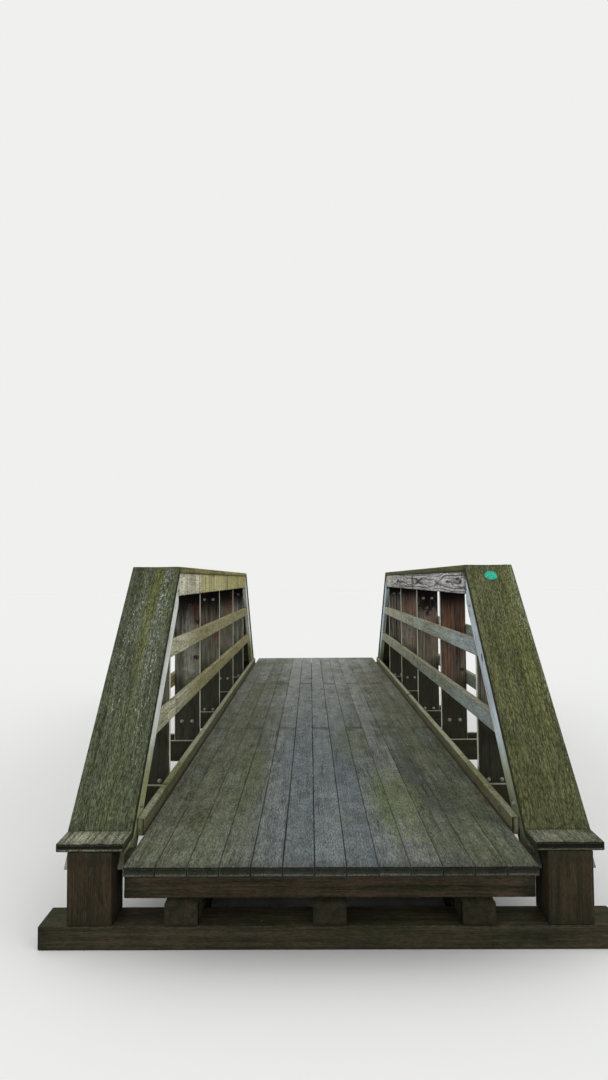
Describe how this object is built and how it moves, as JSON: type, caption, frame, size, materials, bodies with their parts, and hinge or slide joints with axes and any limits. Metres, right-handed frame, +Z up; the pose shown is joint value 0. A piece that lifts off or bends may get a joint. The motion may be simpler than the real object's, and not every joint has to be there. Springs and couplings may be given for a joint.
{
  "type": "timber footbridge",
  "caption": "Timber footbridge: plank deck on cross frames between two boxed parapets with wide plank caps and raking ends that come down to the deck.",
  "frame": {"origin": "on the ground, under the middle of the bridge", "axes": "+Z up, +Y along the walkway to the far end, +X across it to the right as seen from the near end"},
  "size_m": [2.4382, 7.86, 1.619],
  "materials": {
    "deck_boards": "weathered, rough, with green algae",
    "rail_boards": "weathered grey, rough, with green algae",
    "upright_planks": "rough sawn, weathered brown",
    "cap_boards": "weathered, rough, with moss and lichen",
    "frame_timber": "rough sawn, damp and dark",
    "mark_paint": "satin"
  },
  "bodies": {
    "root": {"sill_near": "frame_timber", "sill_far": "frame_timber", "stringer_left": "frame_timber", "stringer_mid": "frame_timber", "stringer_right": "frame_timber", "floor_beams": "frame_timber", "tie_beams": "frame_timber", "end_beams": "frame_timber", "deck": "deck_boards", "curb_left": "rail_boards", "curb_right": "rail_boards", "posts_left": "upright_planks", "posts_right": "upright_planks", "foot_blocks_left": "frame_timber", "foot_blocks_right": "frame_timber", "fascia_left_in": "rail_boards", "fascia_left_out": "rail_boards", "fascia_right_in": "rail_boards", "fascia_right_out": "rail_boards", "mid_rail_left_in": "rail_boards", "mid_rail_left_out": "rail_boards", "mid_rail_right_in": "rail_boards", "mid_rail_right_out": "rail_boards", "low_rail_left_in": "rail_boards", "low_rail_left_out": "rail_boards", "low_rail_right_in": "rail_boards", "low_rail_right_out": "rail_boards", "strips_left_in": "rail_boards", "strips_left_out": "rail_boards", "strips_right_in": "rail_boards", "strips_right_out": "rail_boards", "cap_left": "cap_boards", "cap_right": "cap_boards", "raking_caps_left": "cap_boards", "raking_caps_right": "cap_boards", "foot_caps_left": "cap_boards", "foot_caps_right": "cap_boards", "way_mark": "mark_paint"}
  },
  "joints": []
}
